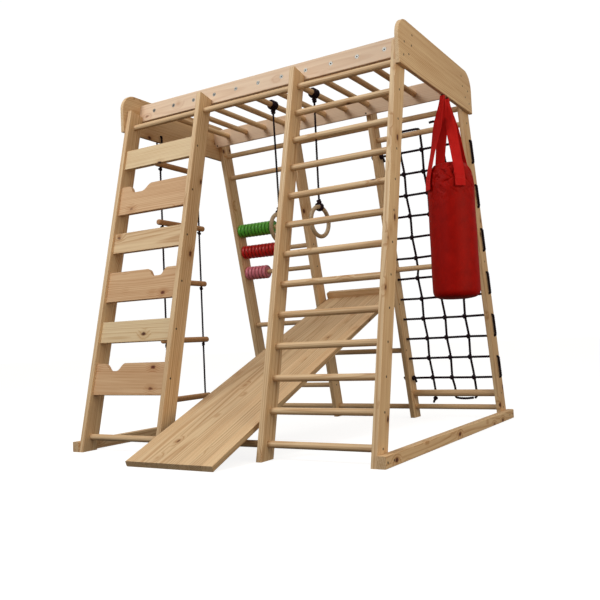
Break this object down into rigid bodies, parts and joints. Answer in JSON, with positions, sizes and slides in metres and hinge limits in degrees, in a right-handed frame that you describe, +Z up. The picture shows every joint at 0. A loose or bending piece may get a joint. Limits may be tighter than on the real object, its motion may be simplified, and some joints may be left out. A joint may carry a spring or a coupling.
{
  "type": "indoor climbing frame with slide",
  "caption": "Pine indoor play gym: a hooked-on slide, wall bars, monkey bars, board ladder, rope net, rope ladder, rings, counting discs and a hanging punch bag.",
  "frame": {"origin": "on the floor, at the centre of the footprint box of everything but the free ropes", "axes": "+X to the right along the monkey-bar frame's long side, +Y to the back, +Z up; the slide comes down towards -Y"},
  "size_m": [1.53, 1.697, 1.623],
  "materials": {
    "pine": "planed softwood, clear matt varnish",
    "pine_bar": "turned softwood, clear matt varnish",
    "pine_panel": "edge-glued softwood staves, smooth satin varnish",
    "grey_wood": "turned hardwood, clear varnish",
    "dark_rope": "twisted polypropylene rope, dark aubergine",
    "red_cloth": "coated woven polyester",
    "red_webbing": "woven polyester webbing",
    "green_paint": "green lacquer over wood",
    "red_paint": "red lacquer over wood",
    "pink_paint": "pink lacquer over wood",
    "zinc_steel": "zinc-plated fasteners"
  },
  "bodies": {
    "frame": {"front_post_a": "pine", "front_post_b": "pine", "front_post_c": "pine", "front_post_d": "pine", "rear_post_1": "pine", "rear_post_2": "pine", "rear_post_3": "pine", "rear_post_4": "pine", "front_beam": "pine", "rear_beam": "pine", "left_end_board": "pine", "right_end_board": "pine", "left_base_board": "pine", "right_base_board": "pine", "wall_bar_01": "pine_bar", "wall_bar_02": "pine_bar", "wall_bar_03": "pine_bar", "wall_bar_04": "pine_bar", "wall_bar_05": "pine_bar", "wall_bar_06": "pine_bar", "wall_bar_07": "pine_bar", "wall_bar_08": "pine_bar", "wall_bar_09": "pine_bar", "wall_bar_10": "pine_bar", "wall_bar_11": "pine_bar", "wall_bar_12": "pine_bar", "wall_bar_13": "pine_bar", "front_cross_bars": "pine_bar", "rear_bars": "pine_bar", "slide_rest_bar": "pine_bar", "abacus_rods": "pine_bar", "monkey_bars": "pine_bar", "ladder_board_1": "pine", "ladder_board_2": "pine", "ladder_board_3": "pine", "ladder_board_4": "pine", "ladder_board_5": "pine", "ladder_board_6": "pine", "board_cleats": "pine", "bar_bolts": "zinc_steel", "board_screws": "zinc_steel", "bar_screws": "zinc_steel", "bag_eyes": "zinc_steel", "rope_hitches": "dark_rope", "rope_net": "dark_rope"},
    "slide": {"slide_board": "pine_panel", "slide_batten": "pine_panel", "slide_hook_cleat": "pine_panel"},
    "green_disc_row": {"green_discs": "green_paint"},
    "red_disc_row": {"red_discs": "red_paint"},
    "pink_disc_row": {"pink_discs": "pink_paint"},
    "left_ring_swing": {"left_ring_rope": "dark_rope", "left_ring": "grey_wood"},
    "right_ring_swing": {"right_ring_rope": "dark_rope", "right_ring": "grey_wood"},
    "rope_ladder": {"ladder_rope_front": "dark_rope", "ladder_rope_rear": "dark_rope", "rope_ladder_rungs": "pine_bar"},
    "hanging_bag": {"punch_bag": "red_cloth", "bag_straps": "red_webbing"}
  },
  "joints": [
    {"name": "slide_foot_lift", "type": "hinge", "parent": "frame", "child": "slide", "pos_m": [-0.0498, 0.64972, 0.58539], "axis": [-1, 0, 0], "range_deg": [0, 18]},
    {"name": "green_disc_travel", "type": "slide", "parent": "frame", "child": "green_disc_row", "axis": [1, 0, 0], "range_m": [0, 0.1993]},
    {"name": "red_disc_travel", "type": "slide", "parent": "frame", "child": "red_disc_row", "axis": [1, 0, 0], "range_m": [0, 0.1993]},
    {"name": "pink_disc_travel", "type": "slide", "parent": "frame", "child": "pink_disc_row", "axis": [1, 0, 0], "range_m": [0, 0.2913]},
    {"name": "left_ring_sway", "type": "hinge", "parent": "frame", "child": "left_ring_swing", "pos_m": [-0.16, 0.1035, 1.515], "axis": [1, 0, 0], "range_deg": [-35, 35]},
    {"name": "right_ring_sway", "type": "hinge", "parent": "frame", "child": "right_ring_swing", "pos_m": [0.08, 0.0815, 1.515], "axis": [1, 0, 0], "range_deg": [-35, 35]},
    {"name": "rope_ladder_sway", "type": "hinge", "parent": "frame", "child": "rope_ladder", "pos_m": [-0.741, 0.0915, 1.415], "axis": [0, 1, 0], "range_deg": [-20, 20]},
    {"name": "bag_sway", "type": "hinge", "parent": "frame", "child": "hanging_bag", "pos_m": [0.661, 0.181, 1.428], "axis": [0, 1, 0], "range_deg": [-25, 25]}
  ]
}
